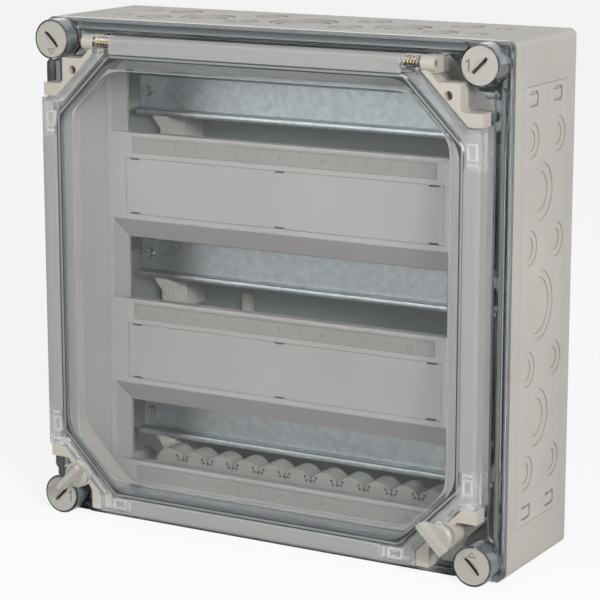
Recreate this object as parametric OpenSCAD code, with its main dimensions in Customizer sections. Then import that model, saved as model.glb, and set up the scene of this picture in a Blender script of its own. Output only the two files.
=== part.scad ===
// Square circuit breaker enclosure with a clear lid and a hinged window.
// Origin: back plane, centre of the four wall fixings. +Z up, the front looks along -Y.

/* [Base] */
// outer width
box_w = 375; // [365:1:420]
// outer height
box_h = 375; // [365:1:420]
// depth from the back to the lid seam
base_d = 100; // [96:1:130]
// outer corner radius
corner_r = 5; // [4:0.5:8]
// side wall thickness
wall_t = 4; // [3:0.1:4.5]
// floor thickness
floor_t = 3.5; // [3:0.1:5]
// width of the rim that carries the seal
rim_w = 8; // [7.5:0.1:9]
// height of that rim
rim_h = 8; // [6:0.5:10]
// distance of the wall fixings from the outline
fix_inset = 32.5; // [31.5:0.5:36]
// diameter of a wall fixing hole
fix_hole = 7; // [5:0.1:8]

/* [Seals] */
// distance of the rim groove from the outline
groove_inset = 3; // [2.5:0.1:3.2]
// width of the rim groove
groove_w = 3; // [2.4:0.1:3.2]
// depth of the rim groove
groove_dep = 4; // [3:0.1:5]
// height of the base seal
base_seal_h = 2.6; // [1.5:0.1:2.8]
// height of the window seal
win_seal_h = 3; // [2.8:0.1:3.6]
// width of the window seal
win_seal_w = 3.5; // [2:0.1:5]

/* [Knock-out plates] */
// distance of the ends of a wall opening from the outline
ko_end = 33; // [31.5:0.5:37]
// margin between the opening and the back or the seam
ko_margin = 14; // [13:0.5:18]
// play around a plate
ko_fit = 0.3; // [0.2:0.05:0.4]
// overlap of the inner lip
ko_lip = 2.5; // [2:0.1:3]
// diameter of the middle knock-out
ko_mid = 50; // [40:1:52]
// diameter of the side knock-outs
ko_side = 41; // [32:1:42]
// diameter of the small knock-outs
ko_small = 25; // [20:0.5:26]
// depth of a knock-out step
ko_dep = 1; // [0.6:0.1:1.3]
// length of a clip pad at the ends of a plate
ko_pad = 15; // [12:0.5:17]

/* [Lid] */
// height of the lid edge above the seam
lid_edge = 7; // [6:0.5:9]
// thickness of the lid plate
lid_t = 3; // [2.5:0.1:3.6]
// width of the lid edge wall
lid_wall = 7; // [6.6:0.1:7.2]
// height of the ridges on the lid
ridge_h = 5; // [3:0.5:6]
// width of the ridges
ridge_w = 8.3; // [6:0.1:8.6]
// distance of the lock axes from the outline
lock_inset = 15; // [14.8:0.1:16]
// outer diameter of a lock turret
turret_dia = 29.4; // [29:0.1:29.6]
// height of a turret above the lid plate
turret_h = 17; // [15:0.5:18]
// distance of the collar from the outline
collar_inset = 22.3; // [22.2:0.1:23]
// thickness of the collar wall
collar_t = 3; // [2.5:0.1:4]
// front of the collar above the lid plate
collar_h = 19; // [18:0.5:21]
// leg of the cut corners of the collar
collar_leg = 45.5; // [44:0.5:47]
// distance of the aperture from the outline
aperture_inset = 34.5; // [32:0.5:36]
// leg of the cut corners of the aperture
aperture_leg = 32; // [30:0.5:34]
// corner radius of the collar and the aperture
round_r = 26; // [20:1:34]
// height of the pads under the brackets
pad_h = 9; // [6:0.5:10]

/* [Locks] */
// diameter of a lock head
lock_dia = 26; // [24:0.1:26.2]
// diameter of a lock shank
shank_dia = 9; // [7:0.1:9.2]
// play around the shank and the head
lock_fit = 0.3; // [0.2:0.05:0.4]
// depth of the driver slot
lock_slot = 5; // [3:0.1:6]

/* [Window] */
// distance of the window from the outline
win_inset = 10; // [9.8:0.1:10.2]
// leg of the cut corners of the window
win_leg = 46.5; // [46:0.5:48]
// set-back of the cut corners behind the ends of the straight sides
win_step = 12; // [11:0.5:12.5]
// thickness of the pane
pane_t = 3.5; // [3:0.1:4.5]
// thickness of the window skirt
skirt_t = 3; // [2.5:0.1:3.2]
// depth of the skirt behind the pane
skirt_dep = 8; // [6:0.5:8.2]
// radius of the front edge
edge_r = 2.6; // [1:0.1:3]
// radius of the pale edge strips
strip_r = 3.8; // [3:0.1:3.9]
// diameter of a hinge pin
pin_dia = 4; // [3:0.1:4.2]
// play of a hinge pin in its bracket
pin_fit = 0.25; // [0.2:0.05:0.4]

/* [Brackets and latches] */
// gap between the window and a bracket
bracket_gap = 1.4; // [1.3:0.1:1.8]
// thickness of the bracket wall
bracket_t = 4; // [3:0.1:5]
// height of the end block of a bracket
bracket_end = 9.5; // [8:0.5:11]
// length of a hinge knuckle
knuckle_len = 10; // [9:0.5:11]
// diameter of a bracket screw head
screw_head = 6; // [5:0.1:6.2]
// distance of a latch axis outside the cut corner
latch_out = 5.5; // [5:0.1:6]
// diameter of a latch socket
socket_dia = 20; // [19:0.1:21]
// diameter of a latch shaft
shaft_dia = 7.5; // [6:0.1:7.6]
// diameter of the latch foot
latch_foot = 19; // [17:0.5:20]
// length of the latch grip
latch_len = 27; // [22:0.5:30]
// height of the latch grip above the pane
latch_h = 15; // [12:0.5:18]

/* [Inside] */
// sideways shift of the slots
row_shift = 3; // [0:0.5:4]
// height of the middle row above the centre
row_lift = 2.5; // [0:0.5:4]
// room beside the modules at each end of a row
row_room = 56; // [54:0.5:60]
// width of a module
module_w = 17.5; // [17.4:0.1:17.6]
// height of a slot
slot_h = 46.5; // [45:0.5:48]
// width of the bevel at the left end of a slot
bevel_x = 12; // [8:0.5:14]
// height of the slope above a slot
bevel_z = 14; // [10:0.5:15]
// distance of the front panel from the outline
panel_inset = 15.5; // [14:0.5:18]
// leg of the cut corners of the front panel
panel_leg = 53; // [51:0.5:56]
// thickness of the front panel
panel_t = 3; // [2.5:0.1:3.5]
// distance of the panel front behind the lid seam
panel_back = 5; // [3:0.5:7]
// depth of the slot frames behind the panel front
slot_dep = 7; // [5:0.5:8]
// height of the lip below a slot
lip_h = 2.6; // [2:0.1:2.8]
// gap above and below a row cover
cover_gap = 3.75; // [2:0.25:6]
// width of the notches in a row cover
notch_w = 8; // [6:0.5:10]
// height of a marking strip
marks_h = 11; // [9:0.5:12]
// distance of a marking strip below its slot
marks_gap = 4; // [3:0.5:5]
// rail width
rail_w = 35; // [35:0.1:35.3]
// rail depth
rail_dep = 7.5; // [7.3:0.1:7.7]
// rail sheet thickness
rail_t = 1; // [0.9:0.1:1.2]
// height of a rail flange
rail_lip = 4; // [3.5:0.1:5]
// distance of the rail ends from the outline
rail_gap = 35.5; // [33:0.5:38]
// front of the rails from the back of the box
rail_front = 45; // [42:0.5:50]
// distance of a rail screw from the rail end
rail_end = 7; // [6:0.5:8]
// width of an upright
spine_w = 26; // [24:0.5:27]
// pitch of the lumps of the terminal carrier
socket_pitch = 22.5; // [20:0.5:23]
// depth of the terminal carrier
carrier_t = 18; // [14:0.5:20]

/* [Hidden] */
$fn = 64;
over = 1;
rows = 3;
row_pitch = box_h / rows;
hw = box_w / 2;
hh = box_h / 2;
seam = base_d;
lid_front = seam + lid_edge;
lid_back = lid_front - lid_t;
collar_top = lid_front + collar_h;
pane_back = collar_top + win_seal_h;
pane_front = pane_back + pane_t;
turret_top = lid_front + turret_h;
lock_floor = lid_front + lid_t;
seal_ring_h = 2;
lock_under = lock_floor + seal_ring_h;
lock_front = turret_top + 1;
lock_x = hw - lock_inset;
lock_z = hh - lock_inset;
post_r = lock_inset - groove_inset - groove_w - 0.5;
shank_end = seam - 38;
fix_x = hw - fix_inset;
fix_z = hh - fix_inset;
gasket_w = groove_w - 0.2;
tongue_w = groove_w - 0.8;
ko_w = base_d - 2 * ko_margin;
ko_side_len = box_h - 2 * ko_end;
ko_top_len = box_w - 2 * ko_end;
ko_lip_t = 2;
seat = lid_front + pad_h;
screw_seat = seat + 4;
win_x = hw - win_inset;
win_z = hh - win_inset;
cut_sum = win_x + win_z - win_leg - win_step;
cut_x = win_x - (win_leg + win_step) / 2;
cut_z = win_z - (win_leg + win_step) / 2;
bar_x = win_x - win_leg;
bar_z = win_z - win_leg;
wall_in = cut_sum + bracket_gap * sqrt(2);
wall_out = wall_in + bracket_t * sqrt(2);
lim_x = win_x - 0.1;
lim_z = win_z - 0.1;
hinge_drop = skirt_t + 2;
hinge_z = win_z - hinge_drop;
hinge_d = collar_top;
barrel_r = hinge_drop - 0.5;
barrel_len = 27;
knuckle_r = 6.5;
block_in = bar_x + 0.8;
block_out = block_in + knuckle_len;
end_z = bar_z + 0.8;
lug_x = lock_x - turret_dia * 0.354 - 1.6;
lug_z = lock_z - turret_dia * 0.354 - 1.6;
latch_x = cut_x + latch_out / sqrt(2);
latch_z = cut_z + latch_out / sqrt(2);
spring_r = barrel_r - 1.2;
spring_out = bar_x - 1;
spring_in = spring_out - 12;
strip_mid = win_inset + skirt_t + 0.3 + strip_r;
socket_top = pane_back - 0.6;
socket_plate = 4;
bar_len = shaft_dia + 4.5;
bar_w = 3.2;
bar_h = 2.4;
bar_d = socket_top - socket_plate - 1 - bar_h;
latch_d = pane_front + 0.2;
panel_front = seam - panel_back;
panel_rear = panel_front - panel_t;
panel_w = box_w - 2 * panel_inset;
panel_h = box_h - 2 * panel_inset;
modules = floor((box_w - 2 * row_room) / module_w);
slot_w = modules * module_w + 1.5;
slot_face = panel_front - 4.5;
edge_x = slot_w / 2 + bevel_x - row_shift;
edge_len = panel_w + panel_h - 2 * panel_leg - 2 * edge_x - 8;
cover_w = slot_w - 2;
cover_h = row_pitch - slot_h - bevel_z - marks_gap - marks_h - 2 * cover_gap;
cover_t = 1.6;
marks_w = slot_w - 13.5;
marks_t = 1;
rail_back = rail_front - rail_dep;
rail_half = hw - rail_gap;
rail_screw_x = rail_half - rail_end;
spine_in = rail_screw_x - 8;
spine_out = spine_in + spine_w;
spine_h = row_pitch * (rows - 1) + rail_w - 1;
post_x = spine_out - 5;
lumps = floor(slot_w / socket_pitch);
lump_r = socket_pitch * 0.56;
carrier_len = (lumps - 1) * socket_pitch + 24;
carrier_z = row_lift - row_pitch * (rows - 1) / 2 - slot_h / 2 - 6;
carrier_d = rail_front + 1;

// height of the middle of a row, counted from the top
function row_z(i) = row_lift + row_pitch * ((rows - 1) / 2 - i);
// leg of the cut corners of the collar at an inset from the outline
function leg_at(inset) = collar_leg - (2 - sqrt(2)) * (inset - collar_inset);

// shapes drawn in elevation, thickness growing toward the front
module front() {
    rotate([90, 0, 0]) children();
}

// one child in each of the four corners
module corners(x, z) {
    for (sx = [-1, 1], sz = [-1, 1]) {
        translate([sx * x, sz * z, 0]) children();
    }
}

module rounded(w, h, r) {
    square([w - 2 * r, h], center = true);
    square([w, h - 2 * r], center = true);
    for (sx = [-1, 1], sz = [-1, 1]) {
        translate([sx * (w / 2 - r), sz * (h / 2 - r)]) circle(r = r);
    }
}

module octagon(w, h, leg) {
    polygon([[w / 2 - leg, -h / 2], [w / 2, leg - h / 2], [w / 2, h / 2 - leg], [w / 2 - leg, h / 2],
        [leg - w / 2, h / 2], [-w / 2, h / 2 - leg], [-w / 2, leg - h / 2], [leg - w / 2, -h / 2]]);
}

// outline of the window, its cut corners set back with a step at each end, smaller by t all round
module window_plan(t) {
    w = win_x - t;
    h = win_z - t;
    a = bar_x - t;
    b = bar_z - t;
    c = win_x - win_step - t * (sqrt(2) - 1);
    e = win_z - win_step - t * (sqrt(2) - 1);
    polygon([[w, -b], [w, b], [c, b], [a, e], [a, h], [-a, h], [-a, e], [-c, b],
        [-w, b], [-w, -b], [-c, -b], [-a, -e], [-a, -h], [a, -h], [a, -e], [c, -b]]);
}

// slab between two distances from the back
module slab(d0, d1) {
    translate([0, 0, d0]) linear_extrude(d1 - d0) children();
}

// round bar along the depth
module stud(r, d0, d1) {
    translate([0, 0, d0]) cylinder(r = r, h = d1 - d0);
}

// slab with an octagon at an inset from the outline, its corners rounded
module soft_slab(inset, leg, d0, d1) {
    w = hw - inset;
    h = hh - inset;
    reach = round_r * tan(22.5);
    turn = reach / sqrt(2);
    a = w - leg;
    b = h - leg;
    slab(d0, d1) polygon([[w, b - reach], [w - turn, b + turn], [a + turn, h - turn], [a - reach, h],
        [reach - a, h], [-a - turn, h - turn], [turn - w, b + turn], [-w, b - reach],
        [-w, reach - b], [turn - w, -b - turn], [-a - turn, turn - h], [reach - a, -h],
        [a - reach, -h], [a + turn, turn - h], [w - turn, -b - turn], [w, reach - b]]);
    corners(a - reach, h - round_r) stud(round_r, d0, d1);
    corners(w - round_r, b - reach) stud(round_r, d0, d1);
}

module base_box() {
    color([0.78, 0.76, 0.72]) front() difference() {
        union() {
            difference() {
                slab(0, seam) rounded(box_w, box_h, corner_r);
                slab(floor_t, seam + over) rounded(box_w - 2 * wall_t, box_h - 2 * wall_t, corner_r / 2);
            }
            slab(seam - rim_h, seam) difference() {
                rounded(box_w - wall_t, box_h - wall_t, corner_r / 2);
                rounded(box_w - 2 * rim_w, box_h - 2 * rim_w, corner_r / 2);
            }
            corners(lock_x, lock_z) stud(post_r, floor_t / 2, seam);
            for (sx = [-1, 1], sz = [-1, 1]) {
                slab(floor_t / 2, seam - rim_h / 2) {
                    translate([sx * (lock_x + lock_inset / 2 - 1), sz * lock_z])
                        square([lock_inset, post_r], center = true);
                    translate([sx * lock_x, sz * (lock_z + lock_inset / 2 - 1)])
                        square([post_r, lock_inset], center = true);
                }
            }
            corners(fix_x, fix_z) stud(fix_hole / 2 + 4, floor_t / 2, floor_t + 6);
        }
        slab(seam - groove_dep, seam + over) difference() {
            rounded(box_w - 2 * groove_inset, box_h - 2 * groove_inset, corner_r / 2);
            rounded(box_w - 2 * groove_inset - 2 * groove_w, box_h - 2 * groove_inset - 2 * groove_w, 1);
        }
        corners(lock_x, lock_z) stud(shank_dia / 2 + lock_fit, shank_end - 2, seam + over);
        corners(fix_x, fix_z) stud(fix_hole / 2, -over, floor_t + 6 + over);
        for (sx = [-1, 1]) {
            translate([sx * (hw - wall_t / 2), 0, base_d / 2])
                cube([wall_t + 2 * over, ko_side_len, ko_w], center = true);
        }
        for (sz = [-1, 1]) {
            translate([0, sz * (hh - wall_t / 2), base_d / 2])
                cube([ko_top_len, wall_t + 2 * over, ko_w], center = true);
        }
    }
}

module base_gasket() {
    color([0.55, 0.56, 0.58]) front() slab(seam - groove_dep, seam - groove_dep + base_seal_h) {
        inset = groove_inset + (groove_w - gasket_w) / 2;
        difference() {
            rounded(box_w - 2 * inset, box_h - 2 * inset, corner_r / 2);
            rounded(box_w - 2 * inset - 2 * gasket_w, box_h - 2 * inset - 2 * gasket_w, 1);
        }
    }
}

// cut of a knock-out with two steps in the outer face of a plate
module knock_out(x, y, dia, inner) {
    translate([x, y, wall_t - ko_dep]) cylinder(d = dia, h = ko_dep + over);
    translate([x, y, wall_t - 2 * ko_dep]) cylinder(d = dia * inner, h = 2 * ko_dep);
}

// cut around a clip pad
module pad_groove(x, y) {
    translate([x, y, wall_t - 2 * ko_dep]) linear_extrude(2 * ko_dep + over) difference() {
        rounded(ko_pad * 0.7, ko_pad, ko_pad * 0.2);
        translate([0, ko_pad * 0.15]) rounded(ko_pad * 0.42, ko_pad, ko_pad * 0.15);
    }
}

// plate with its outer face up, length along x
module knockout_plate(length) {
    low = ko_w / 2 - ko_small / 2 - 1.5;
    high = ko_w / 12;
    difference() {
        union() {
            translate([0, 0, wall_t / 2])
                cube([length - 2 * ko_fit, ko_w - 2 * ko_fit, wall_t], center = true);
            translate([0, 0, -ko_lip_t / 2])
                cube([length + 2 * ko_lip, ko_w + 2 * ko_lip, ko_lip_t], center = true);
        }
        knock_out(0, high, ko_mid, 0.8);
        for (s = [-1, 1]) {
            knock_out(s * length * 0.26, high, ko_side, 0.68);
            for (x = [length * 0.138, length * 0.379], y = [-low, low]) {
                knock_out(s * x, y, ko_small, 0.62);
            }
            for (y = [-1, 1]) {
                pad_groove(s * (length / 2 - ko_pad * 0.6), y * ko_w / 3.6);
            }
        }
    }
}

// a plate in one wall, the angle turns the right wall into the others
module knockout_at(turn, half, length) {
    color([0.8, 0.78, 0.74]) rotate([0, turn, 0]) translate([half - wall_t, -base_d / 2, 0])
        rotate([180, -90, 0]) knockout_plate(length);
}

module knockout_plate_left() {
    knockout_at(180, hw, ko_side_len);
}

module knockout_plate_right() {
    knockout_at(0, hw, ko_side_len);
}

module knockout_plate_top() {
    knockout_at(-90, hh, ko_top_len);
}

module knockout_plate_bottom() {
    knockout_at(90, hh, ko_top_len);
}

// ridge along x with round ends, before the lid plate
module ridge(length) {
    slab(lid_front - over, lid_front + ridge_h) {
        square([length - ridge_w, ridge_w], center = true);
        for (s = [-1, 1]) {
            translate([s * (length - ridge_w) / 2, 0]) circle(d = ridge_w);
        }
    }
}

module lid() {
    ridge_in = 1.3 + ridge_w / 2;
    inside = collar_inset + collar_t;
    color([0.8, 0.85, 0.88, 0.4]) front() difference() {
        union() {
            difference() {
                slab(seam, lid_front) rounded(box_w, box_h, corner_r);
                slab(seam - over, lid_back)
                    rounded(box_w - 2 * lid_wall, box_h - 2 * lid_wall, corner_r / 2);
            }
            slab(seam - groove_dep + base_seal_h, seam + over) difference() {
                inset = groove_inset + (groove_w - tongue_w) / 2;
                rounded(box_w - 2 * inset, box_h - 2 * inset, corner_r / 2);
                rounded(box_w - 2 * inset - 2 * tongue_w, box_h - 2 * inset - 2 * tongue_w, 1);
            }
            corners(lock_x, lock_z) stud(post_r, seam, lid_front);
            corners(lock_x, lock_z) stud(turret_dia / 2, lid_front - over, turret_top);
            for (s = [-1, 1]) {
                translate([0, s * (hh - ridge_in), 0]) ridge(2 * (lock_x - turret_dia / 2) - 2);
                translate([s * (hw - ridge_in), 0, 0]) rotate(90)
                    ridge(2 * (lock_z - turret_dia / 2) - 2);
            }
            soft_slab(collar_inset, collar_leg, lid_back, collar_top);
            for (s = [0, 1]) {
                mirror([s, 0, 0]) {
                    lug_body(lid_back, seat);
                    block_body(lid_back, seat);
                    mirror([0, 1, 0]) socket_body(lid_back, seat);
                }
            }
        }
        soft_slab(inside, leg_at(inside), seam - over, collar_top - collar_t);
        soft_slab(aperture_inset, aperture_leg, seam - over, collar_top + over);
        corners(lock_x, lock_z) stud(lock_dia / 2 + lock_fit, lock_floor, turret_top + over);
        corners(lock_x, lock_z) stud(shank_dia / 2 + lock_fit, seam - over, lock_floor + over);
        bracket_screw_sites() stud(1.5, lid_back - over, seat + over);
    }
}

module window_gasket() {
    outside = collar_inset + 0.2;
    inside = outside + win_seal_w;
    color([0.5, 0.55, 0.58]) front() difference() {
        soft_slab(outside, leg_at(outside), collar_top, pane_back);
        soft_slab(inside, leg_at(inside), collar_top - over, pane_back + over);
    }
}

// lock on its own axis, the driver slot along the given angle
module lid_lock(turn) {
    difference() {
        union() {
            stud(lock_dia / 2, lock_under, lock_front);
            stud(shank_dia / 2, shank_end, lock_under + over);
        }
        rotate(turn) {
            translate([0, 0, lock_front]) cube([15, 2.4, 2 * lock_slot], center = true);
            slab(lock_front - 1, lock_front + over) intersection() {
                translate([0, 9.5]) circle(r = 12.4);
                translate([0, -9.5]) circle(r = 12.4);
            }
        }
    }
}

module lock_at(sx, sz) {
    color([0.84, 0.82, 0.78]) front() translate([sx * lock_x, sz * lock_z, 0]) lid_lock(sx * sz * 45);
}

module lid_lock_tl() {
    lock_at(-1, 1);
}

module lid_lock_tr() {
    lock_at(1, 1);
}

module lid_lock_bl() {
    lock_at(-1, -1);
}

module lid_lock_br() {
    lock_at(1, -1);
}

module lock_seals() {
    color([0.25, 0.26, 0.28]) front() corners(lock_x, lock_z) difference() {
        stud(shank_dia / 2 + 3.5, lock_floor, lock_under);
        stud(shank_dia / 2 + lock_fit, lock_floor - over, lock_under + over);
    }
}

// cutter that rounds the front edge of the window on the side with this normal
module edge_cutter(turn, reach, length) {
    rotate([90, 0, turn]) translate([reach, pane_front, 0])
        linear_extrude(length, center = true) difference() {
            translate([-edge_r, -edge_r]) square(edge_r + over);
            translate([-edge_r, -edge_r]) circle(r = edge_r);
        }
}

// round bar along x from an inner to an outer end, on both sides
module hinge_bars(r, x0, x1) {
    for (s = [-1, 1]) {
        translate([s * (x0 + x1) / 2, hinge_z, hinge_d]) rotate([0, 90, 0])
            cylinder(r = r, h = x1 - x0, center = true);
    }
}

module window_flap() {
    color([0.82, 0.86, 0.88, 0.4]) front() difference() {
        union() {
            difference() {
                slab(pane_back - skirt_dep, pane_front) window_plan(0);
                slab(pane_back - skirt_dep - over, pane_back) window_plan(skirt_t);
                for (turn = [0, 180]) {
                    edge_cutter(turn, win_x, 2 * win_z);
                    edge_cutter(turn + 90, win_z, 2 * win_x);
                }
                for (s = [0, 1], t = [0, 1]) {
                    mirror([s, 0, 0]) mirror([0, t, 0]) on_cut(0, 0)
                        edge_cutter(45, 0, (win_leg - win_step) * sqrt(2) - 2 * edge_r);
                }
                for (s = [-1, 1]) {
                    translate([s * latch_x, -latch_z, 0])
                        stud(socket_dia / 2 + 1, pane_back - skirt_dep - over, pane_back);
                }
            }
            hinge_bars(barrel_r, bar_x - barrel_len, bar_x - 0.5);
            for (s = [-1, 1]) {
                translate([s * latch_x, -latch_z, 0])
                    stud(latch_foot / 2 - 0.5, pane_back, pane_front);
            }
        }
        for (s = [-1, 1]) {
            translate([s * latch_x, -latch_z, 0])
                stud(shaft_dia / 2 + 0.2, pane_back - over, pane_front + over);
        }
        hinge_bars(pin_dia / 2 + 0.05, bar_x - barrel_len + 2, bar_x + over);
        hinge_bars(spring_r + 0.1, spring_in, spring_out);
    }
}

// half-round strip along x, its flat on the pane
module edge_strip(length) {
    intersection() {
        rotate([0, 90, 0]) cylinder(r = strip_r, h = length, center = true);
        translate([0, 0, -strip_r]) cube([length + over, 3 * strip_r, 2 * strip_r], center = true);
    }
}

module strip_at(turn, half, length) {
    color([0.88, 0.88, 0.86]) front() rotate(turn) translate([0, half - strip_mid, pane_back])
        edge_strip(length);
}

module edge_strip_top() {
    strip_at(0, hh, 2 * (bar_x - barrel_len - 0.3));
}

module edge_strip_bottom() {
    strip_at(180, hh, 2 * (bar_x - barrel_len - 0.3));
}

module edge_strip_left() {
    strip_at(90, hw, 2 * (bar_z - barrel_len - 0.3));
}

module edge_strip_right() {
    strip_at(-90, hw, 2 * (bar_z - barrel_len - 0.3));
}

module hinge_pins() {
    color([0.8, 0.66, 0.36]) front()
        hinge_bars(pin_dia / 2, bar_x - barrel_len + 2, block_out - 1);
}

module hinge_springs() {
    color([0.78, 0.62, 0.3]) front() difference() {
        hinge_bars(spring_r, spring_in, spring_out);
        hinge_bars(pin_dia / 2, spring_in - over, spring_out + over);
    }
}

// place on the cut corner: out from the window, along the cut
module on_cut(out, along) {
    translate([cut_x + (out + along) / sqrt(2), cut_z + (out - along) / sqrt(2), 0]) children();
}

module top_screw_site() {
    on_cut(bracket_gap + screw_head / 2 + 0.6, 0) children();
}

module bracket_screw_sites() {
    for (s = [0, 1]) {
        mirror([s, 0, 0]) top_screw_site() children();
    }
}

// wall along the cut corner with the block at its side end
module wall_body(d0, d1) {
    low = wall_in - end_z;
    slab(d0, d1) polygon([[block_in, wall_in - block_in], [block_in, wall_out - block_in],
        [wall_out - end_z, end_z], [low, end_z]]);
    slab(d0, d1) polygon([[low, end_z], [lim_x, end_z], [lim_x, end_z + bracket_end],
        [low - bracket_end, end_z + bracket_end]]);
}

// wall and screw lug of an upper bracket
module lug_body(d0, d1) {
    wall_body(d0, d1);
    slab(d0, d1) polygon([[lug_x, wall_in - lug_x], [lug_x, lug_z], [wall_in - lug_z, lug_z]]);
}

// block under the hinge knuckle
module block_body(d0, d1) {
    slab(d0, d1) translate([block_in, hinge_z - knuckle_r])
        square([block_out - block_in, lim_z - hinge_z + knuckle_r]);
}

// wall with a block at each end and latch socket of a lower bracket
module socket_body(d0, d1) {
    high = wall_in - block_in;
    wall_body(d0, d1);
    slab(d0, d1) polygon([[block_in, high], [block_in + bracket_end, high - bracket_end],
        [block_in + bracket_end, lim_z], [block_in, lim_z]]);
    on_cut(latch_out, 0) stud(socket_dia / 2, d0, d1);
}

module screw_recess() {
    stud(screw_head / 2 + 0.2, screw_seat, socket_top + over);
    stud(1.6, seat - over, screw_seat + over);
}

module bracket_top() {
    difference() {
        union() {
            lug_body(seat, socket_top);
            block_body(seat, hinge_d);
            translate([block_in, hinge_z, hinge_d]) rotate([0, 90, 0])
                cylinder(r = knuckle_r - 1.2, h = block_out - block_in);
        }
        top_screw_site() screw_recess();
        translate([block_in - over, hinge_z, hinge_d]) rotate([0, 90, 0])
            cylinder(r = pin_dia / 2 + pin_fit, h = block_out - block_in + 2 * over);
    }
}

module bracket_bottom() {
    difference() {
        socket_body(seat, socket_top);
        on_cut(latch_out, 0) {
            stud(bar_len / 2 + 0.9, seat + 2, socket_top - socket_plate);
            stud(shaft_dia / 2 + 0.8, seat + 2, socket_top + over);
            slab(seat + 2, socket_top + over) rotate(-45)
                square([bar_len + 1.8, bar_w + 1.8], center = true);
        }
    }
}

module corner_bracket_tl() {
    color([0.85, 0.82, 0.77]) front() mirror([1, 0, 0]) bracket_top();
}

module corner_bracket_tr() {
    color([0.85, 0.82, 0.77]) front() bracket_top();
}

module corner_bracket_bl() {
    color([0.85, 0.82, 0.77]) front() mirror([1, 0, 0]) mirror([0, 1, 0]) bracket_bottom();
}

module corner_bracket_br() {
    color([0.85, 0.82, 0.77]) front() mirror([0, 1, 0]) bracket_bottom();
}

module bracket_screws() {
    color([0.6, 0.6, 0.58]) front() bracket_screw_sites() {
        stud(screw_head / 2, screw_seat, screw_seat + 2.6);
        stud(1.5, lid_back, screw_seat + over);
    }
}

// latch on its own axis, the long end of the grip along +x
module latch() {
    nose = latch_len * 0.58;
    tail = latch_len - nose;
    difference() {
        union() {
            stud(latch_foot / 2, latch_d, latch_d + 1.6);
            translate([0, 0, latch_d + 1.6])
                cylinder(r1 = latch_foot / 2, r2 = latch_foot / 2 - 2, h = 1.6);
            intersection() {
                rotate([90, 0, 0]) translate([0, latch_d, 0]) linear_extrude(latch_foot, center = true)
                    polygon([[1 - latch_foot / 2, 0.5], [latch_foot / 2 - 1, 0.5], [nose - 2, 7],
                        [nose, latch_h - 1.5], [nose - 1.5, latch_h], [0.5 - tail, latch_h],
                        [-tail, latch_h - 0.5], [-tail, latch_h - 6]]);
                rotate([90, 0, 90]) translate([0, latch_d, 0])
                    linear_extrude(2 * latch_len, center = true) difference() {
                        translate([0, latch_h / 2]) square([7, latch_h + over], center = true);
                        for (s = [-1, 1]) {
                            translate([s * (1.8 + latch_h), latch_h + 1]) circle(r = latch_h);
                        }
                    }
            }
            stud(shaft_dia / 2, bar_d, latch_d + over);
            slab(bar_d, bar_d + bar_h) square([bar_w, bar_len], center = true);
        }
        translate([2.6 - latch_foot / 2, 3.4, 0]) stud(1.1, pane_front, latch_d + 4);
    }
}

module latch_at(sx, turn) {
    color([0.88, 0.86, 0.81]) front() translate([sx * latch_x, -latch_z, 0]) rotate(turn) latch();
}

module latch_left() {
    latch_at(-1, 45);
}

module latch_right() {
    latch_at(1, 135);
}

// recess around a slot: a bevel at each end and a wide slope above
module slot_recess(z) {
    low = z - slot_h / 2;
    high = z + slot_h / 2;
    left = row_shift - slot_w / 2;
    right = row_shift + slot_w / 2;
    rise = panel_front - slot_face;
    grow = 1 + over / rise;
    intersection() {
        rotate([90, 0, 90]) linear_extrude(2 * box_w, center = true)
            polygon([[low, panel_front + over], [low, slot_face], [high, slot_face],
                [high + bevel_z * grow, panel_front + over]]);
        rotate([90, 0, 0]) linear_extrude(2 * box_h, center = true)
            polygon([[left - bevel_x * grow, panel_front + over], [left, slot_face],
                [right, slot_face], [right + 4 * grow, panel_front + over]]);
    }
}

// body behind a slot recess
module slot_frame(z) {
    slab(panel_front - 2 * slot_dep, panel_front + over)
        translate([row_shift - slot_w / 2 - bevel_x, z - slot_h / 2 - 2])
            square([slot_w + bevel_x + 4, slot_h + bevel_z + 2]);
}

// rectangle centred on the slots
module on_rows(z, w, h) {
    translate([row_shift, z]) square([w, h], center = true);
}

// height of the middle of a row cover
function cover_z(i) = (row_z(i) + row_z(i + 1) + bevel_z - marks_gap - marks_h) / 2;
// height of the middle of a marking strip
function marks_z(i) = row_z(i) - slot_h / 2 - marks_gap - marks_h / 2;

module front_panel() {
    color([0.72, 0.71, 0.69]) front() difference() {
        union() {
            slab(panel_rear, panel_front) octagon(panel_w, panel_h, panel_leg);
            for (i = [0 : rows - 1]) {
                intersection() {
                    slab(panel_front - slot_dep, panel_front) octagon(panel_w, panel_h, panel_leg);
                    slot_frame(row_z(i));
                }
                slab(panel_rear, panel_front + 1.2) on_rows(row_z(i) - (slot_h + lip_h) / 2, slot_w, lip_h);
            }
            slab(panel_rear, panel_front + 0.5) translate([-edge_x - 3.2, 0])
                square([0.8, edge_len], center = true);
        }
        for (i = [0 : rows - 1]) {
            slab(panel_front - slot_dep - over, panel_front + over) on_rows(row_z(i), slot_w, slot_h);
            slot_recess(row_z(i));
            slab(panel_front - marks_t, panel_front + over) on_rows(marks_z(i), marks_w, marks_h);
        }
        for (i = [0 : rows - 2]) {
            slab(panel_front - cover_t, panel_front + over) on_rows(cover_z(i), cover_w, cover_h);
        }
    }
}

module row_cover(i) {
    color([0.74, 0.73, 0.71]) front() difference() {
        slab(panel_front - cover_t, panel_front) on_rows(cover_z(i), cover_w - 0.6, cover_h - 0.6);
        for (s = [-1, 0, 1], t = [-1, 1]) {
            translate([row_shift + s * (cover_w / 2 - notch_w), cover_z(i) + t * cover_h / 2, panel_front])
                cube([notch_w, notch_w * 0.4, 4 * cover_t], center = true);
        }
    }
}

module row_cover_upper() {
    row_cover(0);
}

module row_cover_lower() {
    row_cover(1);
}

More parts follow.
